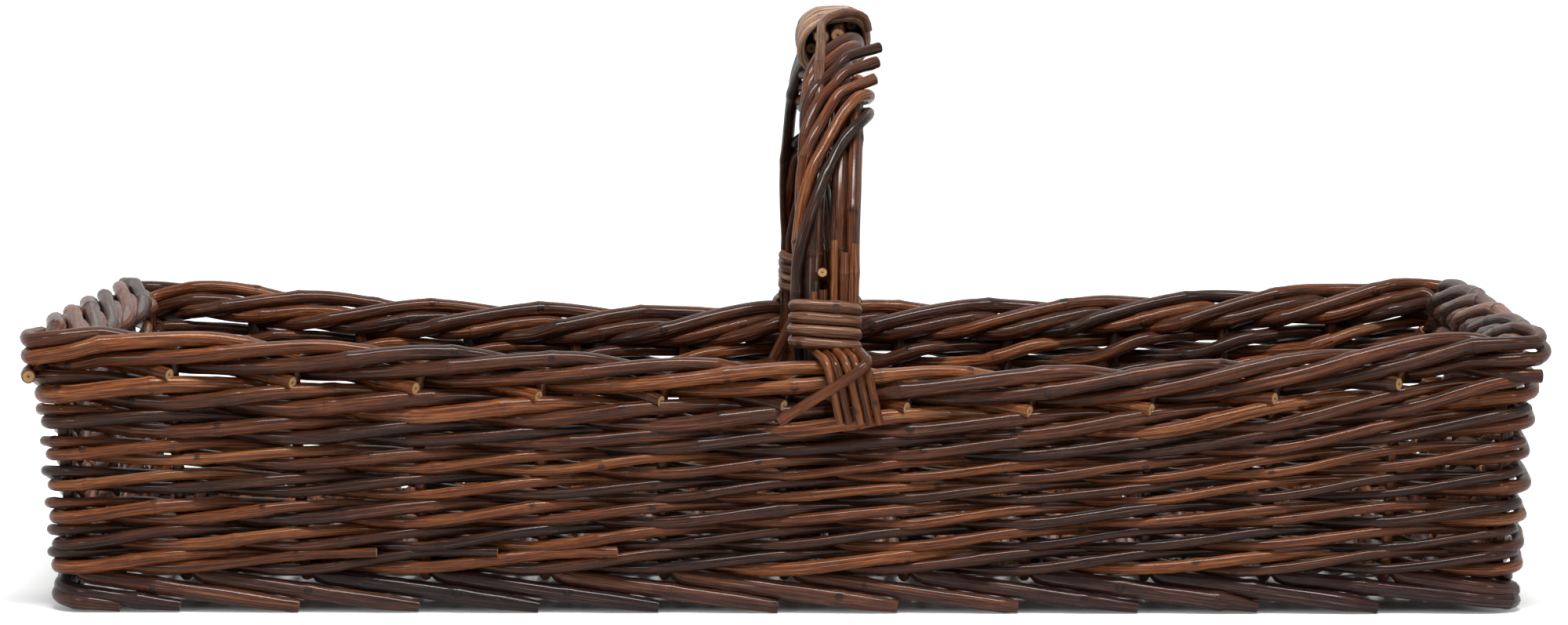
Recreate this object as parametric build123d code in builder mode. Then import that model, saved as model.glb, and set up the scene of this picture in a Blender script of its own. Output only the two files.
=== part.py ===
from build123d import *
import math
import os

os.makedirs("parts", exist_ok=True)

# Rods, by thickness, and the clearance kept between rods that touch
stake_rod = 4.4
upsett_rod = 3.8
siding_rod = 4.0
foot_rod = 4.6
base_stick = 6.0
base_rod = 3.6
bow_rod = 6.4
roping_rod = 4.0
wedge_rod = 3.0
tail_rod = 4.0
peg_rod = 3.2
clearance = 0.2
border_clearance = 0.6

# The ring of stakes: the line through their middles, at the floor
ring_length = 568.0
ring_width = 284.0
long_gaps = 12
end_gaps = 6
corner_cut = 6.0
flare = 7.0

# Heights of the wall, at a corner
foot_height = 16.0
upsett_rounds = 2
upsett_pitch = 9.0
siding_rounds = 5
siding_pitch = 12.4
strands = 3
rod_sides = 4

# The rim sags between its corners: how much of its height the siding keeps at each stake
front_rise_shares = (1.0, 0.95, 0.9, 0.86, 0.82, 0.79, 0.76, 0.74, 0.72, 0.74, 0.8, 0.9, 1.0)
back_rise_shares = (1.0, 0.93, 0.89, 0.85, 0.81, 0.81, 0.8, 0.76, 0.77, 0.8, 0.84, 0.92, 1.0)

# Worked out from the sizes above
ring_places = 2 * (long_gaps + end_gaps)
corners = (0, long_gaps, long_gaps + end_gaps, 2 * long_gaps + end_gaps, ring_places)
upsett_top = foot_height + upsett_rounds * upsett_pitch + clearance
siding_top = upsett_top + siding_rounds * siding_pitch
border_step = stake_rod + border_clearance
border_lift = border_step / 2
mitre = math.sqrt(2) - 1


# The share of its height that the siding keeps at a place of the ring
def rise(place):
    place = place % ring_places
    if place <= corners[1]:
        shares, along = front_rise_shares, place
    elif corners[2] <= place <= corners[3]:
        shares, along = back_rise_shares, place - corners[2]
    else:
        return 1.0
    low = min(int(along), len(shares) - 2)
    return shares[low] + (shares[low + 1] - shares[low]) * (along - low)


# A height of the wall, drawn down where the rim sags
def level(place, height):
    if height <= upsett_top:
        return height
    return upsett_top + (height - upsett_top) * rise(place)


bend_gap_share = 0.07


# How far from a corner, in gaps, a rod at this depth meets the corner's slant
def slant_reach(out):
    gap = ring_length / long_gaps
    return (corner_cut - mitre * out) / gap


# A point of the wall: its place in gaps from the front left stake, its depth out of the
# stake line, and its height
def ring_point(place, out, height):
    place = place % ring_places
    grown = 2 * flare * height / siding_top
    length, width = ring_length + grown, ring_width + grown
    side = max(n for n in range(4) if corners[n] <= place)
    span, across = (length, width) if side % 2 == 0 else (width, length)
    gaps = corners[side + 1] - corners[side]
    along = ((place - corners[side]) / gaps - 0.5) * span
    depth = across / 2 + out
    full = span / 2
    start = full - corner_cut + mitre * out
    if abs(along) > start:
        share = (abs(along) - start) / (full - start)
        middle = out / math.sqrt(2) - corner_cut / 2
        along = math.copysign(start + share * (full + middle - start), along)
        depth = across / 2 + out + share * (middle - out)
    x, y = ((along, -depth), (depth, along), (-along, depth), (-depth, -along))[side]
    return x, y, height


# A route, as places, depths and heights, with its two bends round each corner of the ring
def round_corners(route):
    first, last = route[0][0], route[-1][0]
    bends = []
    for turn in range(-1, 3):
        for corner in corners[:4]:
            corner = corner + turn * ring_places
            if not first - 1 < corner < last + 1:
                continue
            out, height = on_route(route, corner)
            reach = slant_reach(out)
            for place in (corner - reach, corner + reach):
                if first < place < last:
                    bends.append((place, out, height))
            near = reach + bend_gap_share
            route = [p for p in route if p[0] in (first, last) or abs(p[0] - corner) > near]
    return sorted(route + bends, key=lambda point: point[0])


# Depth and height of a route at a place
def on_route(route, place):
    for low, high in zip(route, route[1:]):
        if low[0] <= place <= high[0] and high[0] > low[0]:
            share = (place - low[0]) / (high[0] - low[0])
            return tuple(low[n] + share * (high[n] - low[n]) for n in (1, 2))
    return (route[0] if place < route[0][0] else route[-1])[1:]


# One rod: flat sided, so that its facets stay few, and mitred at each bend
def rod(points, thickness, sides=rod_sides):
    with BuildPart() as made:
        with BuildLine() as route:
            Polyline(*points)
        with BuildSketch(Plane(origin=route.line @ 0, z_dir=route.line % 0)):
            RegularPolygon(thickness / 2, sides)
        sweep(transition=Transition.RIGHT)
    return made.part


# A group of rods of one kind as one piece of the basket, each rod its own solid
def save(name, rods):
    with BuildPart() as piece:
        add(rods)
    piece.part.label = name
    export_step(piece.part, f"parts/{name}.step")
    print(name, len(piece.part.solids()))


# Three-rod wale: each strand runs outside two stakes, rising, and behind the third
back_reach = 0.25
butt_gap = 0.01
front_share = 0.57
cross_share = 0.54


def wale_route(start, end, height, thickness):
    out = (stake_rod + thickness) / 2 + clearance
    front = front_share * thickness
    cross = cross_share * thickness
    route = [(start + butt_gap, -out, 0)]
    for stake in range(start, end, strands):
        route += [
            (stake + back_reach, -out, -cross),
            (stake + 1, out, -front),
            (stake + 2, out, front),
            (stake + strands - back_reach, -out, cross),
        ]
    route.append((end - butt_gap, -out, 0))
    return [(place, out, level(place, height) + lift) for place, out, lift in route]


# The strands of one round along one side; each is joined behind the stake nearest the corner
def wale(side, height, thickness, step):
    rods = []
    for strand in range(strands):
        ends = []
        for corner in corners[side:side + 2]:
            near = [p for p in range(corner - 1, corner + 2) if (p + strand + step) % strands == 0]
            ends.append(near[0])
        route = wale_route(ends[0], ends[1], height, thickness)
        rods.append(rod([ring_point(*p) for p in round_corners(route)], thickness))
    return rods


side_names = ("front", "right", "back", "left")
for number in range(upsett_rounds):
    height = foot_height + (number + 0.5) * upsett_pitch + clearance
    for side, name in enumerate(side_names):
        save(f"upsett_{number + 1}_{name}", wale(side, height, upsett_rod, number))
for number in range(siding_rounds):
    height = upsett_top + (number + 0.5) * siding_pitch
    for side, name in enumerate(side_names):
        save(f"siding_{number + 1}_{name}", wale(side, height, siding_rod, number + upsett_rounds))

# Stakes: each comes out of the base, stands in the wall and turns down to the right as its
# own rod of the border, in gaps along and border steps out and up
border_route_shares = (
    (0.5, -0.75, 1.9),
    (1.0, -1.05, 1.05),
    (1.25, -0.5, 0.85),
    (2.0, 1.05, 1.6),
    (3.0, 0.75, 3.1),
    (3.45, 0.0, 3.1),
    (4.15, -1.35, 1.9),
    (4.4, -1.35, 1.2),
    (4.6, -0.85, 0.7),
    (5.0, 1.15, 0.0),
)
bend_share = 2.2
base_height = 18.0
knee_height = 14.1
long_tail = 30.0
end_tail = 11.0


def stake_points(place):
    top = level(place, siding_top) + border_lift + bend_share * border_step
    route = [(place, 0, top)]
    for along, out, up in border_route_shares:
        height = level(place + along, siding_top) + border_lift + up * border_step
        route.append((place + along, out * border_step, height))
    points = [ring_point(*p) for p in round_corners(route)]
    on_long_side = place % ring_places < corners[1] or corners[2] <= place % ring_places < corners[3]
    tail = long_tail if on_long_side else end_tail
    if place in corners:
        tail = end_tail
    foot = [ring_point(place, -tail, knee_height), ring_point(place, 0, knee_height)]
    return foot + points


stake_groups = {
    "stakes_front": range(0, 8),
    "stakes_front_right": range(8, 12),
    "stakes_right": range(12, 14),
    "stakes_back_right": range(14, 18),
    "stakes_back": range(18, 26),
    "stakes_back_left": range(26, 30),
    "stakes_left": range(30, 32),
    "stakes_front_left": range(32, 36),
}
for name, places in stake_groups.items():
    save(name, [rod(stake_points(place), stake_rod) for place in places])

# Foot border: one rod beside each stake, kneed, laid down to the right and cut off on the ground
foot_start = 0.14
foot_run = 2.4
foot_knee = 13.2
foot_top = 16.2
foot_out = 4.8
ground_cut = 0.5


def foot_points(place):
    end_height = foot_rod / 2 - ground_cut
    start = place + foot_start
    route = [(start, 0, foot_knee), (start + foot_run, foot_out, end_height)]
    points = [ring_point(*p) for p in round_corners(route)]
    return [ring_point(start, 0, foot_top)] + points


for side, name in enumerate(side_names):
    places = range(corners[side], corners[side + 1])
    rods = [rod(foot_points(place), foot_rod) for place in places]
    with BuildPart() as feet:
        add(rods)
        split(bisect_by=Plane.XY, keep=Keep.TOP)
    feet.part.label = f"foot_{name}"
    export_step(feet.part, f"parts/foot_{name}.step")
    print(feet.part.label, len(feet.part.solids()))

# Base: lengthwise sticks, with thin rods woven across them over and under in turn
stick_count = 4
stick_gap = 60.0
base_rods_per_gap = 3
base_rod_sides = 3
stick_sides = 6
base_end_gap = 0.3


# How far the base reaches from the middle, to the first round of the wall
def base_reach(across):
    wall = (stake_rod + upsett_rod) / 2 + clearance + upsett_rod / 2
    return across / 2 + flare * knee_height / siding_top - wall - base_end_gap


def base_sticks():
    reach = base_reach(ring_length)
    sticks = []
    for number in range(stick_count):
        y = (number - (stick_count - 1) / 2) * stick_gap
        sticks.append(rod([(-reach, y, base_height), (reach, y, base_height)], base_stick, stick_sides))
    return sticks


def base_weavers():
    pitch = ring_length / long_gaps / base_rods_per_gap
    count = int(ring_length / pitch) - 2
    below = (base_stick + base_rod) / 2 + clearance
    above = (base_stick + base_rod * math.cos(math.pi / base_rod_sides)) / 2 + clearance
    reach = base_reach(ring_width)
    weavers = []
    for number in range(count):
        x = (number - (count - 1) / 2) * pitch
        points = [(x, -reach, base_height)]
        for stick in range(stick_count):
            y = (stick - (stick_count - 1) / 2) * stick_gap
            points.append((x, y, base_height + (above if (stick + number) % 2 else -below)))
        points.append((x, reach, base_height))
        weavers.append(rod(points, base_rod, base_rod_sides))
    return weavers


save("base_sticks", base_sticks())
save("base_weave", base_weavers())

# Handle: two bow rods side by side stand inside the wall and arch over the basket
bow_inset = 8.5
bow_half_span = ring_width / 2 - bow_inset
bow_rise = 124.0
bow_spring = 98.0
bow_foot = 27.0
bow_front_x = 16.0
bow_top_x = 19.0
bow_back_x = 9.0
bow_spread_foot = 4.9
bow_spread_top = 3.5
bow_steps = 20
bow_sides = 6


# The bow's middle at an angle of its arch, from 0 at the front spring to 180 at the back one,
# moved to the side and outward from it
def bow_point(angle, side, out):
    along = -math.cos(math.radians(angle))
    up = math.sin(math.radians(angle))
    middle = (bow_front_x + bow_back_x) / 2 - bow_top_x
    x = bow_top_x + (bow_back_x - bow_front_x) / 2 * along + middle * along**2
    away = (bow_rise * along, bow_half_span * up)
    size = math.hypot(*away)
    y = bow_half_span * along + out * away[0] / size
    return x + side, y, bow_spring + bow_rise * up + out * away[1] / size


# The same by height, on the front leg or the back one
def leg_point(back, height, side, out):
    above = max(height - bow_spring, 0)
    angle = math.degrees(math.asin(above / bow_rise))
    point = bow_point(180 - angle, -side, out) if back else bow_point(angle, side, out)
    return (*point[:2], height) if above == 0 else point


def bow_spread(angle):
    return bow_spread_top + (bow_spread_foot - bow_spread_top) * math.cos(math.radians(angle)) ** 2


def bow_rod_points(way):
    points = []
    for step in range(bow_steps + 1):
        angle = 180 * step / bow_steps
        points.append(bow_point(angle, way * bow_spread(angle), 0))
    feet = [leg_point(back, bow_foot, way * bow_spread_foot, 0) for back in (False, True)]
    return [feet[0]] + points + [(points[-1][0], points[-1][1], bow_foot)]


save("bow_rod_left", [rod(bow_rod_points(-1), bow_rod, bow_sides)])
save("bow_rod_right", [rod(bow_rod_points(1), bow_rod, bow_sides)])

# Roping: thinner rods rise with the bow and turn round it side by side. Those of the front
# leg end in cut ends under the grip, those of the back leg run on inside it
roping_count = 5
roping_foot = 46.0
roping_slack = 0.6
roping_step = 4.7
roping_angles = (0, 16.5, 35, 50, 80, 102)
roping_lead_shares = (-0.35, -0.35, -0.1, 0.27, 1.0, 1.0)
front_gap_shares = (0.08, 0.08, 0.115, 0.115, 0.115, 0.115)
back_gap_shares = (0.08, 0.08, 0.115, 0.115, 0.2, 0.2)
front_end_angle = 50.0
front_end_step = 4.7


# Side and depth of a rod that lies against the two bow rods, at a share of a turn round them
def round_bow(turn, spread, reach):
    turn = (turn + 0.5) % 1 - 0.5
    girth = 4 * spread + 2 * math.pi * reach
    way = math.copysign(1, turn)
    run = abs(turn) * girth
    if run < spread:
        return way * run, reach
    if run > spread + math.pi * reach:
        return way * (2 * spread + math.pi * reach - run), -reach
    angle = (run - spread) / reach
    return way * (spread + reach * math.sin(angle)), reach * math.cos(angle)


# A value of a table by angle
def at_angle(table, angle):
    for number in range(len(roping_angles) - 1):
        low, high = roping_angles[number], roping_angles[number + 1]
        if low <= angle <= high:
            return table[number] + (table[number + 1] - table[number]) * (angle - low) / (high - low)
    return table[-1]


def roping_points(number, back):
    gap_shares = back_gap_shares if back else front_gap_shares
    last = roping_angles[-1] if back else front_end_angle + number * front_end_step
    steps = round(last / roping_step)
    points = []
    for angle in [last * step / steps for step in range(steps + 1)]:
        reach = (bow_rod + roping_rod) / 2 + clearance
        if angle > roping_angles[1]:
            reach += roping_slack
        turn = at_angle(roping_lead_shares, angle) - number * at_angle(gap_shares, angle)
        side, out = round_bow(turn, bow_spread(angle), reach)
        points.append(bow_point(180 - angle, -side, out) if back else bow_point(angle, side, out))
    return [(points[0][0], points[0][1], roping_foot)] + points


for name, back in (("roping_front", False), ("roping_back", True)):
    save(name, [rod(roping_points(number, back), roping_rod) for number in range(roping_count)])

# Binding: a rod wound over each foot of the handle, and one wound over its grip
winding_rod = 3.8
binding_turns = 4
binding_pitch = 4.6
binding_half_width = 13.2
binding_half_depth = 9.9
binding_corner = 5.0
grip_turns = 13
grip_pitch_angle = 2.1
grip_half_width = 13.6
grip_half_depth = 10.2
grip_corner = 5.4

# Wedges: thin rods pushed down under each binding, whose lower ends splay out over the border
wedge_sides = (-4.6, -1.2, 3.3, 6.2, 8.9)
wedge_outs = (5.1, 5.1, 5.1, 5.1, 3.8)
wedge_rises = (24.0, 25.0, 43.0, 41.5, 42.5)
wedge_bow_steps = 2
wedge_splay = 5.3
wedge_drop = 25.0
rim_out = 10.8
wedge_to_binding = 3.6
front_middle = 6.3
back_middle = 24.0


# The height of a rod that lies on the border at the front or back of the handle
def border_top(back, thickness):
    place = back_middle if back else front_middle
    highest = max(up for along, out, up in border_route_shares)
    top = level(place, siding_top) + border_lift + highest * border_step
    return top + (stake_rod + thickness) / 2 + clearance


# The points of a winding, which climbs evenly: straight sides, cut across at the corners
def winding_points(place_at, half_width, half_depth, corner, turns):
    wide, deep = half_width - corner, half_depth - corner
    cut = corner * math.sqrt(2)
    girth = 4 * (wide + deep) + 4 * cut
    shape = ((half_width, deep), (wide, half_depth), (-wide, half_depth), (-half_width, deep))
    shape += tuple((-side, -out) for side, out in shape)
    points = [place_at(0, half_width, -deep)]
    run = 2 * deep
    for number in range(len(shape) * turns + 1):
        side, out = shape[number % len(shape)]
        points.append(place_at(run / girth, side, out))
        run += cut if number % 2 == 0 else 2 * (wide if number % 4 == 1 else deep)
    return points


# The least gap of a winding to itself, from turn to turn
def least_gap(points):
    per_turn = 8
    gaps = []
    for number in range(len(points) - per_turn - 1):
        start, end = Vector(*points[number + per_turn]), Vector(*points[number + per_turn + 1])
        along = (end - start).normalized()
        away = Vector(*points[number]) - start
        gaps.append((away - along * away.dot(along)).length - winding_rod)
    return round(min(gaps), 2)


def binding_place(back):
    foot = border_top(back, wedge_rod) + wedge_to_binding

    def place_at(turn, side, out):
        return leg_point(back, foot + turn * binding_pitch, side, out)

    return place_at


def grip_place(turn, side, out):
    start = 90 - grip_turns / 2 * grip_pitch_angle
    return bow_point(start + turn * grip_pitch_angle, side, out)


binding_shape = (binding_half_width, binding_half_depth, binding_corner, binding_turns)
bindings = [winding_points(binding_place(back), *binding_shape) for back in (False, True)]
grip = winding_points(grip_place, grip_half_width, grip_half_depth, grip_corner, grip_turns)
save("binding_front", [rod(bindings[0], winding_rod)])
save("binding_back", [rod(bindings[1], winding_rod)])
save("grip_wrap", [rod(grip, winding_rod)])
print("least gap of a winding to itself", least_gap(bindings[0]), least_gap(bindings[1]), least_gap(grip))


def wedge_points(number, back):
    side, out = wedge_sides[number], wedge_outs[number]
    over = ring_width / 2 + flare + rim_out - bow_half_span
    top = border_top(back, wedge_rod)
    heights = [top + wedge_rises[number] * (1 - step / wedge_bow_steps) for step in range(wedge_bow_steps + 1)]
    points = [leg_point(back, height, side, out) for height in heights]
    edge_side, end_side = side + wedge_splay, side + 2 * wedge_splay
    edge, end = leg_point(back, 0, edge_side, over), leg_point(back, 0, end_side, over)
    return points + [(edge[0], edge[1], top), (end[0], end[1], top - wedge_drop)]


for name, back in (("wedges_front", False), ("wedges_back", True)):
    save(name, [rod(wedge_points(number, back), wedge_rod) for number in range(len(wedge_sides))])

# Peg between the two bow rods at the front, and the loose tails of the two bindings
peg_angle = 17.0
peg_out = 8.0
peg_in = -3.2
peg_sides = 6
tail_sides = 6
front_tail_x = (38.0, 37.0, -2.0)
front_tail_drop = 24.0
back_tail_x = (5.0, -8.0)
back_tail_top = 105.0
back_tail_end = 79.0
save("handle_peg", [rod([bow_point(peg_angle, 0, peg_out), bow_point(peg_angle, 0, peg_in)], peg_rod, peg_sides)])

tail_front = ring_width / 2 + flare + rim_out + (wedge_rod + tail_rod) / 2 + clearance
tail_top = border_top(False, tail_rod)
front_tail = [
    (front_tail_x[0], -(ring_width / 2 + flare), tail_top),
    (front_tail_x[1], -tail_front, tail_top - tail_rod),
    (front_tail_x[2], -tail_front, tail_top - front_tail_drop),
]
save("binding_tail_front", [rod(front_tail, tail_rod, tail_sides)])
tail_back = bow_half_span - (bow_rod + roping_rod) / 2 - (roping_rod + tail_rod) / 2 - 2 * clearance
back_tail = [(back_tail_x[0], tail_back, back_tail_top), (back_tail_x[1], tail_back, back_tail_end)]
save("binding_tail_back", [rod(back_tail, tail_rod, tail_sides)])
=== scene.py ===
import math
import random

import bpy
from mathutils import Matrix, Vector


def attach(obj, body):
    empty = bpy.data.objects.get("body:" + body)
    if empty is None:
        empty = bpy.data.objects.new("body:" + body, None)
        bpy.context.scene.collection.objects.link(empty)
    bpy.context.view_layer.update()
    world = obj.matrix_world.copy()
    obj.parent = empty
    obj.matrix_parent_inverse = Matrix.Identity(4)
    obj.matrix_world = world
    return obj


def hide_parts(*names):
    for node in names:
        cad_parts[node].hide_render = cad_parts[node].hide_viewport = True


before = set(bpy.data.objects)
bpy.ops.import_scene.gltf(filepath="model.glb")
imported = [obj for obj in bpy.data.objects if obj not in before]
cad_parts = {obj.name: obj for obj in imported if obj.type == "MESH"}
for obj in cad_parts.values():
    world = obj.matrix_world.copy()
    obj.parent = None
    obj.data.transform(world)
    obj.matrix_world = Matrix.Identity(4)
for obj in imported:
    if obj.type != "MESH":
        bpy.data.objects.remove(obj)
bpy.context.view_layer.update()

# Sizes are in millimetres, as a basket maker gives them, and metre turns them into the frame's
metre = 0.001

# The ring of stakes. The rises say how much of its height the siding keeps at each stake
ring = {
    "length": 568, "width": 284, "flare": 6, "cornerRadius": 10.2,
    "longGaps": 12, "endGaps": 6, "stake": 5.0,
    "footTop": 16, "upsettRounds": 2, "upsettPitch": 9, "sidingRounds": 5, "sidingPitch": 12.4,
    "borderStep": 5.0, "borderRise": 4.35, "clearance": 0.2,
    "frontRise": (1.0, 0.95, 0.9, 0.86, 0.82, 0.79, 0.76, 0.74, 0.72, 0.74, 0.8, 0.9, 1.0),
    "backRise": (1.0, 0.93, 0.89, 0.85, 0.81, 0.81, 0.8, 0.76, 0.77, 0.8, 0.84, 0.92, 1.0),
}
gap = ring["length"] / ring["longGaps"]
places = 2 * (ring["longGaps"] + ring["endGaps"])
corners = (0, ring["longGaps"], places // 2, places // 2 + ring["longGaps"], places)
sideNames = ("front", "right", "back", "left")
handleSides = ((False, "Front"), (True, "Back"))
upsettTop = ring["footTop"] + ring["upsettRounds"] * ring["upsettPitch"] + ring["clearance"]
sidingTop = upsettTop + ring["sidingRounds"] * ring["sidingPitch"]
borderLift = ring["borderRise"] / 2


class Value:
    # A socket of a node tree: sums and products of such values add their own Math nodes
    def __init__(self, tree, socket=None):
        self.tree = tree
        self.socket = socket

    def make(self, kind, settings=None, inputs=None, output=0):
        node = self.tree.nodes.new(kind)
        for name, setting in (settings or {}).items():
            if name == "stops":
                ramp = node.color_ramp.elements
                while len(ramp) < len(setting):
                    ramp.new(0.5)
                for stop, (position, colour) in zip(ramp, setting):
                    stop.position = position
                    stop.color = (*colour, 1)
            else:
                setattr(node, name, setting)
        for key, value in (inputs or {}).items():
            if isinstance(value, Value):
                self.tree.links.new(value.socket, node.inputs[key])
            else:
                node.inputs[key].default_value = value
        return Value(self.tree, node.outputs[output]) if node.outputs else node

    def out(self, name):
        return Value(self.tree, self.socket.node.outputs[name])

    def maths(self, operation, first, second=0.0):
        return self.make("ShaderNodeMath", {"operation": operation}, {0: first, 1: second})

    def __add__(self, other):
        return self.maths("ADD", self, other)

    def __radd__(self, other):
        return self.maths("ADD", other, self)

    def __sub__(self, other):
        return self.maths("SUBTRACT", self, other)

    def __rsub__(self, other):
        return self.maths("SUBTRACT", other, self)

    def __mul__(self, other):
        return self.maths("MULTIPLY", self, other)

    def __rmul__(self, other):
        return self.maths("MULTIPLY", other, self)

    def __truediv__(self, other):
        return self.maths("DIVIDE", self, other)

    def __rtruediv__(self, other):
        return self.maths("DIVIDE", other, self)

    def __gt__(self, other):
        return self.maths("GREATER_THAN", self, other)

    # 0 at start, 1 at end and smooth between, also where end is the smaller
    def between(self, start, end):
        settings = {"interpolation_type": "SMOOTHSTEP"}
        return self.make("ShaderNodeMapRange", settings, {0: self, 1: start, 2: end})

    # This colour with as much of the second one as share says
    def mix(self, share, second, blend="MIX"):
        if not isinstance(second, Value):
            second = (*second, 1)
        settings = {"data_type": "RGBA", "blend_type": blend}
        return self.make("ShaderNodeMix", settings, {"Factor": share, 6: self, 7: second}, 2)


# Bark: one recipe for every rod. A noise has its scale round the rod, its scale along it and
# its detail; a range with a third number has the share at which it shows
bark = {
    "blotch": (0.5, 16, 3), "streak": (2.6, 11, 4), "grain": (6.5, 50, 3), "fibre": (7.0, 24, 3),
    "wrinkle": (3.2, 190, 3), "noiseRoughness": 0.6, "noiseShift": 91.7,
    "budSpacing": 0.047, "budSpread": (0.7, 0.6), "budShift": 7.3, "budTurn": 2.4, "budStart": 5,
    "budWander": 0.0028, "ringReach": (0.00036, 0.0012), "eyeReach": (0.00048, 0.00192),
    "eyeWidth": (0.8, 1.0), "ringShow": 0.14, "eyeShow": 0.85, "scar": (0.012, 0.007, 0.006),
    "furrow": (0.6, 0.4, 0.85), "furrowTint": (0.26, 0.18, 0.16),
    "bare": (0.6, 0.72, 0.36), "bareColour": (0.36, 0.20, 0.11),
    "cutEdge": (0.86, 0.92), "cutBlotch": (0.3, 0.8), "cutTint": (0.6, 0.42, 0.3),
    "wood": ((0.0, (0.09, 0.035, 0.015)), (0.14, (0.14, 0.06, 0.025)), (0.22, (0.42, 0.24, 0.11)),
             (0.7, (0.50, 0.30, 0.14)), (0.84, (0.24, 0.12, 0.055)), (1.0, (0.05, 0.022, 0.012))),
    "specular": 0.06, "coat": 0.23, "coatRoughness": 0.16,
    "grainDepth": 1.0, "grainSize": 0.0009, "dullGrain": (0.4, 0.7),
}
# How much each of them counts in the shade of the bark, in its height and in its roughness
shares = {
    "shade": {"least": 0.1, "tone": 0.8, "blotch": 0.8, "streak": 1.3, "wrinkle": 0.5},
    "height": {"grain": 0.9, "fibre": 0.4, "streak": 0.4, "wrinkle": 0.65, "budRing": 0.3,
               "budEye": 0.9},
    "dull": {"streak": 0.4, "grain": 0.12, "cut": 0.35, "budEye": 0.2},
}
# The colours from the darkest shade to the lightest, and the roughness of each bark
tones = {
    "chestnut": {"roughness": 0.32, "stops": (
        (0.0, (0.010, 0.005, 0.005)), (0.22, (0.042, 0.013, 0.006)), (0.45, (0.092, 0.027, 0.009)),
        (0.68, (0.175, 0.050, 0.014)), (0.86, (0.28, 0.088, 0.023)), (1.0, (0.27, 0.12, 0.052)))},
    "purple": {"roughness": 0.32, "stops": (
        (0.0, (0.009, 0.004, 0.004)), (0.4, (0.026, 0.010, 0.009)), (0.75, (0.070, 0.024, 0.015)),
        (1.0, (0.14, 0.048, 0.020)))},
    "grey": {"roughness": 0.42, "stops": (
        (0.0, (0.070, 0.030, 0.016)), (0.4, (0.17, 0.074, 0.040)), (0.75, (0.28, 0.145, 0.085)),
        (1.0, (0.66, 0.45, 0.30)))},
}


def barkMaterial(name, toneName):
    material = bpy.data.materials.new(name)
    material.use_nodes = True
    tree = material.node_tree
    tree.nodes.clear()
    start = Value(tree)

    def attribute(attributeName, output="Fac"):
        return start.make("ShaderNodeAttribute", {"attribute_name": attributeName}, output=output)

    ringPlace = attribute("ringPlace", "Vector")
    along, seed, tone = attribute("along"), attribute("seed"), attribute("tone")
    side = start.make("ShaderNodeSeparateXYZ", inputs={0: ringPlace}, output="X")
    up = side.out("Y")

    def noise(kind):
        around, lengthwise, detail = bark[kind]
        place = start.make("ShaderNodeCombineXYZ", inputs={
            0: side * around, 1: up * around, 2: along * lengthwise + seed * bark["noiseShift"]})
        return start.make("ShaderNodeTexNoise", inputs={
            "Vector": place, "Scale": 1.0, "Detail": detail, "Roughness": bark["noiseRoughness"]})

    blotch, streak, grain = noise("blotch"), noise("streak"), noise("grain")
    fibre, wrinkle = noise("fibre"), noise("wrinkle")

    # Buds: a ring round the rod at each, and an eye on one side of it
    spacing = (seed * bark["budSpread"][1] + bark["budSpread"][0]) * bark["budSpacing"]
    buds = along / spacing + seed * bark["budShift"]
    distance = start.maths("ABSOLUTE", start.maths("FRACT", buds) - 0.5) * spacing
    distance = distance + (streak - 0.5) * bark["budWander"]
    budRing = 1 - distance.between(*bark["ringReach"])
    turn = start.maths("FLOOR", buds) * bark["budTurn"] + seed * bark["budStart"]
    facing = side * start.maths("COSINE", turn) + up * start.maths("SINE", turn)
    budEye = facing.between(*bark["eyeWidth"]) * (1 - distance.between(*bark["eyeReach"]))
    scarred = start.maths("MAXIMUM", budRing * bark["ringShow"], budEye * bark["eyeShow"])

    part = shares["shade"]
    shade = (tone * part["tone"] + part["least"] + (blotch - 0.5) * part["blotch"]
             + (streak - 0.5) * part["streak"] + (wrinkle - 0.5) * part["wrinkle"])
    colour = start.make("ShaderNodeValToRGB", {"stops": tones[toneName]["stops"]}, {"Fac": shade})
    low, high, most = bark["furrow"]
    colour = colour.mix(grain.between(low, high) * most, bark["furrowTint"], "MULTIPLY")
    low, high, most = bark["bare"]
    colour = colour.mix(fibre.between(low, high) * most, bark["bareColour"])
    colour = colour.mix(scarred, bark["scar"])

    # Cut ends: pith, wood and a rim of bark, by the distance from the rod's middle
    radial = start.maths("SQRT", side * side + up * up)
    cut = 1 - radial.between(*bark["cutEdge"])
    wood = start.make("ShaderNodeValToRGB", {"stops": bark["wood"]}, {"Fac": radial})
    low, most = bark["cutBlotch"]
    wood = wood.mix((blotch - low) * most, bark["cutTint"], "MULTIPLY")
    colour = colour.mix(cut, wood)

    part = shares["dull"]
    roughness = (tones[toneName]["roughness"] + (streak - 0.5) * part["streak"]
                 + grain.between(*bark["dullGrain"]) * part["grain"] + cut * part["cut"]
                 + budEye * part["budEye"])
    part = shares["height"]
    height = (grain * part["grain"] + fibre * part["fibre"] + streak * part["streak"]
              + wrinkle * part["wrinkle"] + budRing * part["budRing"] + budEye * part["budEye"])
    bump = start.make("ShaderNodeBump", inputs={
        "Strength": bark["grainDepth"], "Distance": bark["grainSize"], "Height": height},
        output="Normal")
    shader = start.make("ShaderNodeBsdfPrincipled", inputs={
        "Base Color": colour, "Roughness": roughness, "Normal": bump,
        "Coat Weight": bark["coat"] * (1 - cut), "Coat Roughness": bark["coatRoughness"],
        "Specular IOR Level": bark["specular"]})
    start.make("ShaderNodeOutputMaterial", inputs={"Surface": shader})
    return material


# Rods: a tree that turns routes into tapering rods with buds, cut ends and a little unevenness.
# Its lengths are in metres
rodShape = {
    "Sides": 12, "Bud Spacing": bark["budSpacing"], "Bud Size": 0.07, "Bud Length": 0.0022,
    "Wobble": 0.0012, "Unevenness": 0.2,
}
rodNoise = {"wobbleScale": 22.0, "wobbleSeed": 57, "girthScale": 26, "girthSeed": 63}
capCorners = 4  # a face with more corners than this is a cut end


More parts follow.
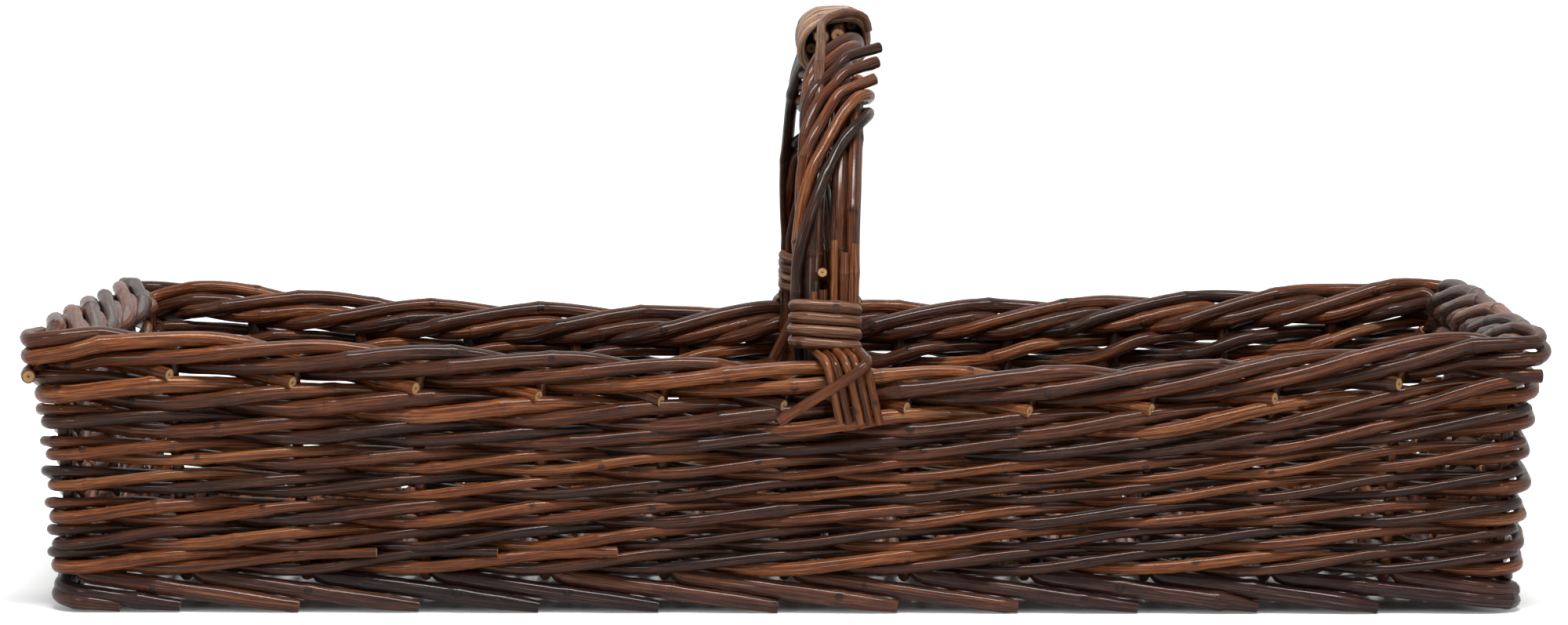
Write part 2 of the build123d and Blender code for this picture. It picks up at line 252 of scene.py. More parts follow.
def rodTree():
    tree = bpy.data.node_groups.new("rods", "GeometryNodeTree")
    sockets = {"Geometry": "Geometry", "Sides": "Int", "Bud Spacing": "Float", "Bud Size": "Float",
               "Bud Length": "Float", "Wobble": "Float", "Unevenness": "Float",
               "Material": "Material"}
    for name, kind in sockets.items():
        tree.interface.new_socket(name, in_out="INPUT", socket_type="NodeSocket" + kind)
    tree.interface.new_socket("Geometry", in_out="OUTPUT", socket_type="NodeSocketGeometry")
    start = Value(tree)
    given = start.make("NodeGroupInput", output="Geometry")

    def attribute(name):
        return start.make("GeometryNodeInputNamedAttribute", {"data_type": "FLOAT"}, {"Name": name})

    def store(geometry, name, value, kind="FLOAT"):
        settings = {"data_type": kind, "domain": "POINT"}
        return start.make("GeometryNodeStoreNamedAttribute", settings,
                          {"Geometry": geometry, "Name": name, "Value": value})

    seed = attribute("seed")
    curve = start.make("GeometryNodeMeshToCurve", inputs={"Mesh": given})
    place = start.make("GeometryNodeInputPosition")
    uneven = start.make("ShaderNodeTexNoise", {"noise_dimensions": "4D"}, {
        "Vector": place, "W": seed * rodNoise["wobbleSeed"], "Scale": rodNoise["wobbleScale"],
        "Detail": 1.0}, output="Color")
    offset = start.make("ShaderNodeVectorMath", {"operation": "SUBTRACT"}, {
        0: uneven, 1: (0.5, 0.5, 0.5)})
    offset = start.make("ShaderNodeVectorMath", {"operation": "SCALE"}, {
        0: offset, "Scale": given.out("Wobble")})
    curve = start.make("GeometryNodeSetPosition", inputs={"Geometry": curve, "Offset": offset})
    along = start.make("GeometryNodeSplineParameter", output="Length")
    curve = store(curve, "along", along)

    spread = seed * bark["budSpread"][1] + bark["budSpread"][0]
    spacing = spread * given.out("Bud Spacing")
    phase = start.maths("FRACT", along / spacing + seed * bark["budShift"])
    away = start.maths("ABSOLUTE", phase - 0.5) * spacing / given.out("Bud Length")
    swell = 1 + given.out("Bud Size") / (1 + away * away * away * away)
    lengthwise = start.make("ShaderNodeCombineXYZ", inputs={
        0: along * rodNoise["girthScale"] + seed * rodNoise["girthSeed"]})
    girth = start.make("ShaderNodeTexNoise", inputs={
        "Vector": lengthwise, "Scale": 1.0, "Detail": 2.0})
    thicker = 1 + (girth - 0.5) * given.out("Unevenness")
    radius = attribute("radius") * swell * thicker * swell * thicker  # both count twice

    circle = start.make("GeometryNodeCurvePrimitiveCircle", inputs={
        "Resolution": given.out("Sides"), "Radius": 1.0})
    circle = store(circle, "ringPlace", place, "FLOAT_VECTOR")
    skin = start.make("GeometryNodeCurveToMesh", inputs={
        "Curve": curve, "Profile Curve": circle, "Scale": radius, "Fill Caps": True})
    faceCorners = start.make("GeometryNodeInputMeshFaceNeighbors", output="Vertex Count")
    skin = start.make("GeometryNodeSetShadeSmooth", inputs={
        "Geometry": skin, "Selection": faceCorners > capCorners, "Shade Smooth": False})
    skin = start.make("GeometryNodeRealizeInstances", inputs={"Geometry": skin})
    skin = start.make("GeometryNodeSetMaterial", inputs={
        "Geometry": skin, "Material": given.out("Material")})
    start.make("NodeGroupOutput", inputs={"Geometry": skin})
    return tree


rodNodes = rodTree()


# A rod: its route and its thickness at each point of it in millimetres, its seed and its tone
def makeRod(path, butt, tip, dice, low=0.0, high=1.0):
    last = len(path) - 1
    thickAt = [butt + (tip - butt) * (n / last) for n in range(len(path))]
    return {"path": path, "thickAt": thickAt, "seed": dice.random(),
            "tone": dice.uniform(low, high)}


# One piece of the basket from its rods, in place of the CAD nodes that are named
def makePiece(name, rods, material, nodes, shape=None):
    mesh = bpy.data.meshes.new(name)
    points, edges, radii, seeds, toneList = [], [], [], [], []
    for rod in rods:
        first, count = len(points), len(rod["path"])
        points += [Vector(point) * metre for point in rod["path"]]
        edges += [(first + n, first + n + 1) for n in range(count - 1)]
        radii += [thick / 2 * metre for thick in rod["thickAt"]]
        seeds += [rod["seed"]] * count
        toneList += [rod["tone"]] * count
    mesh.from_pydata(points, edges, [])
    for attributeName, values in (("radius", radii), ("seed", seeds), ("tone", toneList)):
        attribute = mesh.attributes.new(attributeName, "FLOAT", "POINT")
        attribute.data.foreach_set("value", values)
    piece = bpy.data.objects.new(name, mesh)
    bpy.context.scene.collection.objects.link(piece)
    modifier = piece.modifiers.new("rods", "NODES")
    modifier.node_group = rodNodes
    values = {**rodShape, **(shape or {}), "Material": material}
    for socket in rodNodes.interface.items_tree:
        if socket.in_out == "INPUT" and socket.name in values:
            modifier[socket.identifier] = values[socket.name]
    bpy.context.view_layer.update()
    evaluated = piece.evaluated_get(bpy.context.evaluated_depsgraph_get())
    finished = bpy.data.meshes.new_from_object(evaluated)
    piece.modifiers.clear()
    piece.data = finished
    bpy.data.meshes.remove(mesh)
    finished.name = name
    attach(piece, "root")
    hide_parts(*nodes)
    triangles = sum(len(face.vertices) - 2 for face in finished.polygons)
    print(name, len(rods), "rods", triangles, "triangles")


# A smooth run of points through the knots, close enough together for a round bend
def smoothPath(knots, step=2.6):
    knots = [Vector(knot) for knot in knots]
    times = [0]
    for low, high in zip(knots, knots[1:]):
        times.append(times[-1] + max((high - low).length, 0.01))
    slopes = []
    for n in range(len(knots)):
        low, high = max(n - 1, 0), min(n + 1, len(knots) - 1)
        slopes.append((knots[high] - knots[low]) / (times[high] - times[low]))
    path = [knots[0]]
    for n in range(len(knots) - 1):
        span = times[n + 1] - times[n]
        count = max(1, round(span / step))
        for m in range(1, count + 1):
            t = m / count
            path.append(knots[n] * (2 * t**3 - 3 * t**2 + 1)
                        + slopes[n] * span * (t**3 - 2 * t**2 + t)
                        + knots[n + 1] * (3 * t**2 - 2 * t**3)
                        + slopes[n + 1] * span * (t**3 - t**2))
    return path


def riseAt(place):
    place = place % places
    if place <= corners[1]:
        rises, along = ring["frontRise"], place
    elif corners[2] <= place <= corners[3]:
        rises, along = ring["backRise"], place - corners[2]
    else:
        return 1.0
    low = min(int(along), len(rises) - 2)
    return rises[low] + (rises[low + 1] - rises[low]) * (along - low)


def levelAt(place, height):
    if height <= upsettTop:
        return height
    return upsettTop + (height - upsettTop) * riseAt(place)


# A point of the wall: its place in gaps from the front left stake, its depth out of the stake
# line and its height. The ring's corners are round here
def ringPoint(place, out, height):
    place = place % places
    grown = 2 * ring["flare"] * height / sidingTop
    length, width = ring["length"] + grown, ring["width"] + grown
    side = max(n for n in range(4) if corners[n] <= place)
    span, across = (length, width) if side % 2 == 0 else (width, length)
    share = (place - corners[side]) / (corners[side + 1] - corners[side])
    along, depth = (share - 0.5) * span, across / 2 + out
    turnStart = span / 2 - ring["cornerRadius"]
    if abs(along) > turnStart:
        turn = (abs(along) - turnStart) / ring["cornerRadius"] * math.pi / 4
        radius = ring["cornerRadius"] + out
        along = math.copysign(turnStart + radius * math.sin(turn), along)
        depth = across / 2 - ring["cornerRadius"] + radius * math.cos(turn)
    x, y = ((along, -depth), (depth, along), (-along, depth), (-depth, -along))[side]
    return Vector((x, y, height))


def ringPath(knots):
    path = smoothPath([(place * gap, out, height) for place, out, height in knots])
    return [ringPoint(place / gap, out, height) for place, out, height in path]


sidingBark = barkMaterial("sidingBark", "chestnut")
darkBark = barkMaterial("darkBark", "purple")
greyBark = barkMaterial("greyBark", "grey")
print("bark made")

# Wall: rounds of three-rod wale, each strand outside two stakes, rising, and behind the third.
# At the joins, in gaps after a stake, a rod ends outside the wall and the next starts inside it
wale = {
    "upsettThick": 4.9, "sidingThick": 4.9, "topThick": 6.0, "spread": (0.86, 1.14),
    "butt": 1.05, "tip": 0.82, "tones": (0.08, 0.96), "seed": 5,
    "front": 0.58, "cross": 0.52, "backReach": 0.25, "jitter": 0.7, "sway": (-0.2, 0.2),
    "joins": (0, 1, 2), "joinRound": 1, "joinEnd": (2.62, 2.4, 0.8), "joinStart": 1.7,
}


def waleRods(height, thickness, step, dice, joins=()):
    rods = []
    front, cross, back = wale["front"] * thickness, wale["cross"] * thickness, wale["backReach"]
    for side in range(4):
        for strand in range(3):
            # A strand starts and ends behind a stake: of its own, the nearest to each corner
            ends = [next(place for place in range(corner - 1, corner + 2)
                         if (place + strand + step) % 3 == 0)
                    for corner in corners[side:side + 2]]
            thick = thickness * dice.uniform(*wale["spread"])
            out = (ring["stake"] + thick) / 2
            runs = [[(ends[0], -out, 0)]]
            for stake in range(ends[0], ends[1], 3):
                for along, depth, lift in ((back, -out, -cross), (1, out, -front),
                                           (2, out, front), (3 - back, -out, cross)):
                    depth += dice.uniform(*wale["sway"]) * wale["jitter"]
                    lift += dice.uniform(-1, 1) * wale["jitter"]
                    runs[-1].append((stake + along, depth, lift))
                    if side == 0 and along == 2 and stake in joins:
                        end, poke, rise = wale["joinEnd"]
                        runs[-1].append((stake + end, out + poke, front + rise))
                        runs.append([(stake + wale["joinStart"], -out, 0)])
            runs[-1].append((ends[1], -out, 0))
            for knots in runs:
                knots = [(place, depth, levelAt(place, height) + lift)
                         for place, depth, lift in knots]
                rods.append(makeRod(ringPath(knots), thick * wale["butt"], thick * wale["tip"],
                                    dice, *wale["tones"]))
    return rods


dice = random.Random(wale["seed"])
for number in range(ring["upsettRounds"]):
    height = ring["footTop"] + (number + 0.5) * ring["upsettPitch"] + ring["clearance"]
    joins = wale["joins"] if number + 1 == wale["joinRound"] else ()
    makePiece(f"upsett{number + 1}", waleRods(height, wale["upsettThick"], number, dice, joins),
              sidingBark, [f"upsett_{number + 1}_{side}" for side in sideNames])
for number in range(ring["sidingRounds"]):
    height = upsettTop + (number + 0.5) * ring["sidingPitch"]
    thickness = wale["topThick"] if number + 1 == ring["sidingRounds"] else wale["sidingThick"]
    rods = waleRods(height, thickness, ring["upsettRounds"] + number, dice)
    makePiece(f"siding{number + 1}", rods, sidingBark,
              [f"siding_{number + 1}_{side}" for side in sideNames])

# Stakes: out of the base, up through the wall and down to the right as the rods of the border.
# The knee has depths and heights over it, the bend places, depths and distances below its top,
# and the border places, depths in steps and heights in rises. Border and tones: front, others; the
# others' darker tones are painted shade
stakes = {
    "thick": 4.7, "border": (6.0, 6.7), "butt": 5.3, "spread": (0.88, 1.1), "seed": 11,
    "tones": ((0.2, 1.0), (0.05, 0.7)), "longTail": 30, "endTail": 11, "frontSpan": 3,
    "kneeHeight": 14.1, "knee": ((-4, 0), (-0.6, 3), (0, 9)), "middle": 0.5,
    "bendStep": 2.2, "bend": ((0, 0, 9), (0.03, -0.1, 4), (0.16, -0.9, 0.6)), "bendPoints": 12,
    "cornerOut": 6.5, "cornerDrop": 3.5, "cornerReach": 0.45, "jitter": (-0.3, 0.3),
    "buttSwell": 0.12,
    "route": ((0.5, -0.75, 1.7), (1.0, -1.05, 0.7), (1.25, -0.5, 0.6), (2.0, 1.05, 1.5),
              (3.0, 0.75, 3.1), (3.45, 0.0, 3.1), (4.15, -1.35, 1.6), (4.4, -1.35, 0.8),
              (4.6, -0.85, 0.4), (4.84, 0.5, 0.1), (5.0, 1.6, -0.1)),
}


def stakeRod(place, dice):
    top = levelAt(place, sidingTop) + borderLift + stakes["bendStep"] * ring["borderRise"]
    onLongSide = place not in corners and (place < corners[1] or corners[2] < place < corners[3])
    tail = stakes["longTail"] if onLongSide else stakes["endTail"]
    knots = [(place, -tail, stakes["kneeHeight"])]
    knots += [(place, out, stakes["kneeHeight"] + up) for out, up in stakes["knee"]]
    knots.append((place, 0, sidingTop * stakes["middle"]))
    knots += [(place + along, out, top - below) for along, out, below in stakes["bend"]]
    for along, out, up in stakes["route"]:
        height = levelAt(place + along, sidingTop) + borderLift + up * ring["borderRise"]
        knots.append((place + along, out * ring["borderStep"],
                      height + dice.uniform(*stakes["jitter"])))
    route = smoothPath([(along * gap, out, height) for along, out, height in knots])
    bendStart = top - stakes["bend"][0][2]
    bend = next(n for n, point in enumerate(route) if point.z > bendStart)
    bent = [min(max((n - bend) / stakes["bendPoints"], 0), 1) for n in range(len(route))]

    # The border bulges out and down where it turns a corner
    path = []
    for point, share in zip(route, bent):
        away = min(abs(point.x / gap - corner) for corner in (*corners, places + corners[1]))
        peak = max(0, 1 - away / stakes["cornerReach"]) * share
        path.append(ringPoint(point.x / gap, point.y + stakes["cornerOut"] * peak,
                              point.z - stakes["cornerDrop"] * peak))
    # Rods at the back and ends get darker tones than the front ones: painted shade on the border
    # away from the front
    kind = 0 if place < corners[1] or place > places - stakes["frontSpan"] else 1
    rod = makeRod(path, stakes["thick"], stakes["thick"], dice, *stakes["tones"][kind])
    border = stakes["border"][kind] * dice.uniform(*stakes["spread"])
    rod["thickAt"] = [min(stakes["thick"] + (border - stakes["thick"]) * share,
                          stakes["butt"] + (len(path) - n) * stakes["buttSwell"])
                      for n, share in enumerate(bent)]
    return rod


stakeGroups = {
    "front": range(0, 8), "frontRight": range(8, 12), "right": range(12, 14),
    "backRight": range(14, 18), "back": range(18, 26), "backLeft": range(26, 30),
    "left": range(30, 32), "frontLeft": range(32, 36),
}
dice = random.Random(stakes["seed"])
for name, group in stakeGroups.items():
    node = "stakes_" + "".join("_" + c.lower() if c.isupper() else c for c in name)
    makePiece("stakes" + name[0].upper() + name[1:], [stakeRod(place, dice) for place in group],
              sidingBark, [node])

# Foot: a rod beside each stake, kneed, laid down to the right and cut off on the ground
foot = {
    "thick": 7.0, "spread": (0.88, 1.06), "start": 0.1, "run": 1.85, "cornerGap": 0.45,
    "knee": ((-0.02, -3, 18.5), (0.03, 0.2, 14.9), (0.2, 1.6, 13.3)),
    "laid": 0.2, "out": 5.6, "clear": (0.5, 0.3), "tip": 4.6, "tipPoints": 6, "seed": 17,
}


def footRod(place, dice):
    thick = foot["thick"] * dice.uniform(*foot["spread"])
    start = place + foot["start"]
    end = start + foot["run"]
    for corner in corners:
        if abs(end - corner) < foot["cornerGap"]:
            end = corner + foot["cornerGap"]
    knots = [(start + along, out, height) for along, out, height in foot["knee"]]
    knots += [(end - foot["laid"], foot["out"], thick / 2 + foot["clear"][0]),
              (end, foot["out"], foot["tip"] / 2 + foot["clear"][1])]
    path = ringPath(knots)
    last = len(path) - 1
    rod = makeRod(path, thick, thick, dice)
    rod["thickAt"] = [foot["tip"] + (thick - foot["tip"]) * min((last - n) / foot["tipPoints"], 1)
                      for n in range(len(path))]
    return rod


dice = random.Random(foot["seed"])
for side, name in enumerate(sideNames):
    rods = [footRod(place, dice) for place in range(corners[side], corners[side + 1])]
    makePiece("foot" + name.capitalize(), rods, darkBark, [f"foot_{name}"])

# Base: lengthwise sticks with thin rods woven across them
base = {
    "height": 18, "halfLength": 278, "halfWidth": 138, "sticks": 4, "stick": 6.4, "stickGap": 60,
    "stickStep": 6, "rod": 5.4, "tip": 0.94, "pitch": 5.1, "jitter": (-0.4, 0.4), "rodStep": 5,
    "rodShape": {"Sides": 8}, "seed": 23,
}
dice = random.Random(base["seed"])
stickPlaces = [(number - (base["sticks"] - 1) / 2) * base["stickGap"]
               for number in range(base["sticks"])]
rods = []
for y in stickPlaces:
    path = smoothPath([(x, y, base["height"]) for x in (-base["halfLength"], base["halfLength"])],
                      base["stickStep"])
    rods.append(makeRod(path, base["stick"], base["stick"], dice))
makePiece("baseSticks", rods, sidingBark, ["base_sticks"])
rods = []
weavers = int(2 * base["halfLength"] / base["pitch"]) + 1
lift = (base["stick"] + base["rod"]) / 2
for number in range(weavers):
    x = (number - (weavers - 1) / 2) * base["pitch"]
    knots = [(x, -base["halfWidth"], base["height"])]
    for stick, y in enumerate(stickPlaces):
        over = lift if (stick + number) % 2 else -lift
        knots.append((x + dice.uniform(*base["jitter"]), y, base["height"] + over))
    knots.append((x, base["halfWidth"], base["height"]))
    path = smoothPath(knots, base["rodStep"])
    rods.append(makeRod(path, base["rod"], base["rod"] * base["tip"], dice))
makePiece("baseWeave", rods, sidingBark, ["base_weave"], base["rodShape"])
print("basket woven")

# Handle: two bow rods side by side arch over the basket
bow = {
    "halfSpan": 133.5, "rise": 127.3, "spring": 98, "foot": 27, "frontX": 16, "topX": 19,
    "backX": 9, "spreadFoot": 4.9, "spreadTop": 3.5, "thick": 7.2, "tones": (0.1, 0.45),
    "steps": 60, "pathStep": 4, "seed": 31,
}


# A point beside the bow's middle line, at an angle from 0 at the front to 180 at the back
def bowPoint(angle, side, out):
    along, up = -math.cos(math.radians(angle)), math.sin(math.radians(angle))
    middle = (bow["frontX"] + bow["backX"]) / 2 - bow["topX"]
    x = bow["topX"] + (bow["backX"] - bow["frontX"]) / 2 * along + middle * along**2
    awayY, awayZ = bow["rise"] * along, bow["halfSpan"] * up
    size = math.hypot(awayY, awayZ)
    y = bow["halfSpan"] * along + out * awayY / size
    return Vector((x + side, y, bow["spring"] + bow["rise"] * up + out * awayZ / size))


# The same, with the angle and the side as they are seen from that end of the bow
def endPoint(back, angle, side, out):
    return bowPoint(180 - angle, -side, out) if back else bowPoint(angle, side, out)


def atHeight(point, height):
    return Vector((point.x, point.y, height))


def legPoint(back, height, side, out):
    above = max(height - bow["spring"], 0)
    angle = math.degrees(math.asin(above / bow["rise"]))
    point = endPoint(back, angle, side, out)
    return point if above else atHeight(point, height)


def bowSpread(angle):
    lower = math.cos(math.radians(angle)) ** 2
    return bow["spreadTop"] + (bow["spreadFoot"] - bow["spreadTop"]) * lower


def bowPath(way):
    angles = [180 * n / bow["steps"] for n in range(bow["steps"] + 1)]
    path = [bowPoint(angle, way * bowSpread(angle), 0) for angle in angles]
    feet = [atHeight(path[end], bow["foot"]) for end in (0, -1)]
    return smoothPath([feet[0]] + path + [feet[1]], bow["pathStep"])


dice = random.Random(bow["seed"])
for way, name in ((-1, "Left"), (1, "Right")):
    rod = makeRod(bowPath(way), bow["thick"], bow["thick"], dice, *bow["tones"])
    makePiece("bowRod" + name, [rod], sidingBark, ["bow_rod_" + name.lower()])

# Roping: thinner rods that rise with the bow and turn round it, straight ones beside them and
# two butts in the mouth of the grip. Turns are shares of the way round, from the outside to the
# right. At each of the angles, leads give the first rod's turn and gaps the distance to the next.
# Pairs of tables are for the front and the back
roping = {
    "count": 5, "extra": 2, "thick": 5.0, "tip": 4.6, "foot": 46, "slack": 0.3, "step": 2.0,
    "pathStep": 3, "angles": (0, 16.5, 35, 50, 80, 98), "seed": 37,
    "leads": ((-0.33, -0.24, 0.0, 0.25, 1.0, 1.0), (-0.35, -0.35, -0.1, 0.27, 1.0, 1.0)),
    "gaps": ((0.08, 0.08, 0.115, 0.115, 0.115, 0.115), (0.08, 0.08, 0.115, 0.115, 0.143, 0.143)),
    "cutFrom": 2, "cutEnd": 41.5, "cutEndStep": 5.0, "cutRise": 3.8, "cutLength": 13.4,
    "hiddenEnd": 62, "hiddenStep": 6, "addedStart": 40, "addedEnd": 88,
    "backEnds": (96, 96, 98, 98, 105, 103, 96),
    "overSide": 4.6, "overAngles": (34, 46), "overTurns": (0, 0.16), "overTurnsEnd": (0.33, 0.45),
    "straightTurns": (0.19, 0.27), "straightEnds": ((57, 61), (79, 80)), "straightOut": (0, 3.2),
    "outAngles": (8, 35), "outAnglesEnd": (50, 74),
    "butts": ((1.4, 6.4), (-5.3, 5.7)), "buttThick": 6.2, "buttAngles": (73, 84),
    "buttTones": (0.1, 0.5),
}
ropingReach = (bow["thick"] + roping["thick"]) / 2 + roping["slack"]


# Side and depth of a point that lies round both bow rods
def roundBow(turn, spread, reach):
    turn = (turn + 0.5) % 1 - 0.5
    girth = 4 * spread + 2 * math.pi * reach
    way, run = math.copysign(1, turn), abs(turn) * girth
    if run < spread:
        return way * run, reach
    if run > spread + math.pi * reach:
        return way * (2 * spread + math.pi * reach - run), -reach
    angle = (run - spread) / reach
    return way * (spread + reach * math.sin(angle)), reach * math.cos(angle)


def atAngle(table, angle):
    for low in range(len(table) - 1):
        start, end = roping["angles"][low], roping["angles"][low + 1]
        if start <= angle <= end:
            return table[low] + (table[low + 1] - table[low]) * (angle - start) / (end - start)
    return table[-1]


def ease(value, low, high):
    share = min(max((value - low) / (high - low), 0), 1)
    return share * share * (3 - 2 * share)


def fromFoot(path):
    return smoothPath([atHeight(path[0], roping["foot"])] + path, roping["pathStep"])


def ropingPath(number, back):
    added = not back and number >= roping["count"]
    cutOff = not back and roping["cutFrom"] <= number < roping["count"]
    if back:
        last = roping["backEnds"][number]
    elif added:
        last = roping["addedEnd"]
    elif cutOff:
        last = roping["cutEnd"] + number * roping["cutEndStep"]
    else:
        last = roping["hiddenEnd"] + number * roping["hiddenStep"]
    first = roping["addedStart"] if added else 0
    steps = round((last - first) / roping["step"])
    path = []
    for n in range(steps + 1):
        angle = first + (last - first) * n / steps
        turn = atAngle(roping["leads"][back], angle)
        turn -= number * atAngle(roping["gaps"][back], angle)
        reach = ropingReach
        if not back and not added:  # over the straight rods
            reach += (roping["overSide"] * ease(angle, *roping["overAngles"])
                      * ease(turn, *roping["overTurns"])
                      * (1 - ease(turn, *roping["overTurnsEnd"])))
        side, out = roundBow(turn, bowSpread(angle), reach)
        path.append(endPoint(back, angle, side, out))
    if cutOff:
        path.append(bowPoint(last + roping["cutRise"], side + roping["cutLength"], out))
    return smoothPath(path, roping["pathStep"]) if added else fromFoot(path)


def straightPath(number, back):
    path = []
    last = roping["straightEnds"][back][number]
    steps = round(last / roping["step"])
    for n in range(steps + 1):
        angle = last * n / steps
        reach = ropingReach + (roping["straightOut"][back] * ease(angle, *roping["outAngles"])
                               * (1 - ease(angle, *roping["outAnglesEnd"])))
        side, out = roundBow(roping["straightTurns"][number], bowSpread(angle), reach)
        path.append(endPoint(back, angle, side, out))
    return fromFoot(path)


dice = random.Random(roping["seed"])
for back, name in handleSides:
    paths = [ropingPath(number, back) for number in range(roping["count"] + roping["extra"])]
    paths += [straightPath(number, back) for number in range(len(roping["straightTurns"]))]
    rods = [makeRod(path, roping["thick"], roping["tip"], dice) for path in paths]
    if not back:
        for side, out in roping["butts"]:
            path = [bowPoint(angle, side, out) for angle in roping["buttAngles"]]
            rods.append(makeRod(path, roping["buttThick"], roping["buttThick"], dice,
                                *roping["buttTones"]))
    makePiece("roping" + name, rods, sidingBark, ["roping_" + name.lower()])

# Bindings and grip: a rod wound round and round, with a lead-in below the grip. Sizes are half
# the width and half the depth, and the lead-in has angles, sides and depths
winding = {
    "thick": 4.6, "bindingTurns": 4, "bindingPitch": 4.6, "bindingSize": (12.4, 9.9),
    "bindingCorner": 7.0, "bindingTones": (0.4, 0.8), "overBorder": 3.6, "borderRod": 3.0,
    "skein": 3.3, "gripTurns": 19, "gripPitch": 1.44, "gripSize": (13.7, 10.4),
    "gripCorner": 9.6, "gripSlant": 0.3, "gripTones": (0.85, 1.1),
    "leadIn": ((50, -5.5, 3), (57, -5.5, 8), (66, -5, 10.4), (72.5, -4.6, 12), (75.5, 0, 12.9),
               (78, 7, 12.6), (79.5, 12.6, 9.6), (80, 14.2, 4)), "leadInTones": (0.4, 0.5),
    "cornerPoints": 7, "pathStep": 2, "seed": 41,
}
# Wedges: rods with cut tops, pushed down beside the bow and splayed over the border. Leans have
# shares of the rise and how far out the rod leans there
wedges = {
    "thick": 3.4, "sides": (-4.6, -1.0, 3.4, 7.2, 11.0), "outs": (5.1, 5.1, 5.1, 5.1, 3.8),
    "rises": (24, 25, 43, 38.5, 42), "leans": ((1, 1.3), (0.66, 0.5), (0.33, 0), (0.1, 0)),
    "splay": 5.3, "sink": 2, "drop": 25, "rimOut": 10.8, "middles": (6.3, 24),
    "borderSteps": 3.1, "tones": (0.45, 0.95), "seed": 43,
}
rimLine = ring["width"] / 2 + ring["flare"]


# How high the middle of a rod lies on the border beside the handle
def borderTop(back, thickness):
    level = levelAt(wedges["middles"][back], sidingTop)
    return (level + borderLift + wedges["borderSteps"] * ring["borderRise"]
            + (ring["stake"] + thickness) / 2 + ring["clearance"])


def windingPath(placeAt, halfWidth, halfDepth, corner, turns):
    wide, deep = halfWidth - corner, halfDepth - corner
    quarter = math.pi / 2
    girth = 4 * (wide + deep + quarter * corner)
    middles = ((wide, deep), (-wide, deep), (-wide, -deep), (wide, -deep))
    path, run = [placeAt(0, halfWidth, -deep)], 0
    for number in range(4 * turns):
        side, out = middles[number % 4]
        run += 2 * (deep if number % 2 == 0 else wide)
        for n in range(winding["cornerPoints"] + 1):
            share = n / winding["cornerPoints"]
            angle = (number + share) * quarter
            place = (run + share * quarter * corner) / girth
            path.append(placeAt(place, side + corner * math.cos(angle),
                                out + corner * math.sin(angle)))
        run += quarter * corner
    return smoothPath(path, winding["pathStep"])


dice = random.Random(winding["seed"])
for back, name in handleSides:
    foothold = borderTop(back, winding["borderRod"]) + winding["overBorder"]

    def bindingPoint(turn, side, out):
        return legPoint(back, foothold + turn * winding["bindingPitch"], side, out)

    path = windingPath(bindingPoint, *winding["bindingSize"], winding["bindingCorner"],
                       winding["bindingTurns"])
    rod = makeRod(path, winding["thick"], winding["thick"], dice, *winding["bindingTones"])
    makePiece("binding" + name, [rod], greyBark, ["binding_" + name.lower()])
gripStart = 90 - winding["gripTurns"] / 2 * winding["gripPitch"]


def gripPoint(turn, side, out):
    angle = gripStart + turn * winding["gripPitch"] + side * winding["gripSlant"]
    return bowPoint(angle, side, out)


path = windingPath(gripPoint, *winding["gripSize"], winding["gripCorner"], winding["gripTurns"])
leadIn = smoothPath([bowPoint(angle, side, out) for angle, side, out in winding["leadIn"]])
rods = [makeRod(path, winding["skein"], winding["skein"], dice, *winding["gripTones"]),
        makeRod(leadIn, winding["thick"], winding["skein"], dice, *winding["leadInTones"])]
makePiece("gripWrap", rods, greyBark, ["grip_wrap"])

dice = random.Random(wedges["seed"])
for back, name in handleSides:
    rods = []
    over = rimLine + wedges["rimOut"] - bow["halfSpan"]
    top = borderTop(back, wedges["thick"])
    for side, out, rise in zip(wedges["sides"], wedges["outs"], wedges["rises"]):
        knots = [legPoint(back, top + rise * share, side, out + lean)
                 for share, lean in wedges["leans"]]
        edge = legPoint(back, 0, side + wedges["splay"], over)
        end = legPoint(back, 0, side + 2 * wedges["splay"], over)
        knots += [atHeight(edge, top - wedges["sink"]), atHeight(end, top - wedges["drop"])]
        rods.append(makeRod(smoothPath(knots), wedges["thick"], wedges["thick"], dice,
                            *wedges["tones"]))
    makePiece("wedges" + name, rods, sidingBark, ["wedges_" + name.lower()])

# Peg between the bow rods, and the loose tails of the bindings: the front one has places
# across and heights over the border, the back one places across and heights
loose = {
    "peg": 3.9, "pegAngle": 15.4, "pegSide": -1.2, "pegOuts": (8.4, -3.2), "seed": 47,
    "tail": 4.4, "tones": (0.4, 0.7), "frontRest": 4.0, "frontOut": 3.7,
    "front": ((30, 2), (31.5, -2.5), (-2, -24)), "back": ((5, 105), (-8, 79)), "backIn": 9.9,
}
dice = random.Random(loose["seed"])
path = [bowPoint(loose["pegAngle"], loose["pegSide"], out) for out in loose["pegOuts"]]
makePiece("handlePeg", [makeRod(path, loose["peg"], loose["peg"], dice)], sidingBark,
          ["handle_peg"])
beside = rimLine + wedges["rimOut"] + loose["frontOut"]
tailTop = borderTop(False, loose["frontRest"])
frontTail = [(x, -y, tailTop + up)
             for (x, up), y in zip(loose["front"], (rimLine, beside, beside))]
backTail = [(x, bow["halfSpan"] - loose["backIn"], z) for x, z in loose["back"]]
for knots, name in ((frontTail, "Front"), (backTail, "Back")):
    rod = makeRod(smoothPath(knots), loose["tail"], loose["tail"], dice, *loose["tones"])
    makePiece("bindingTail" + name, [rod], sidingBark, ["binding_tail_" + name.lower()])
print("handle made")

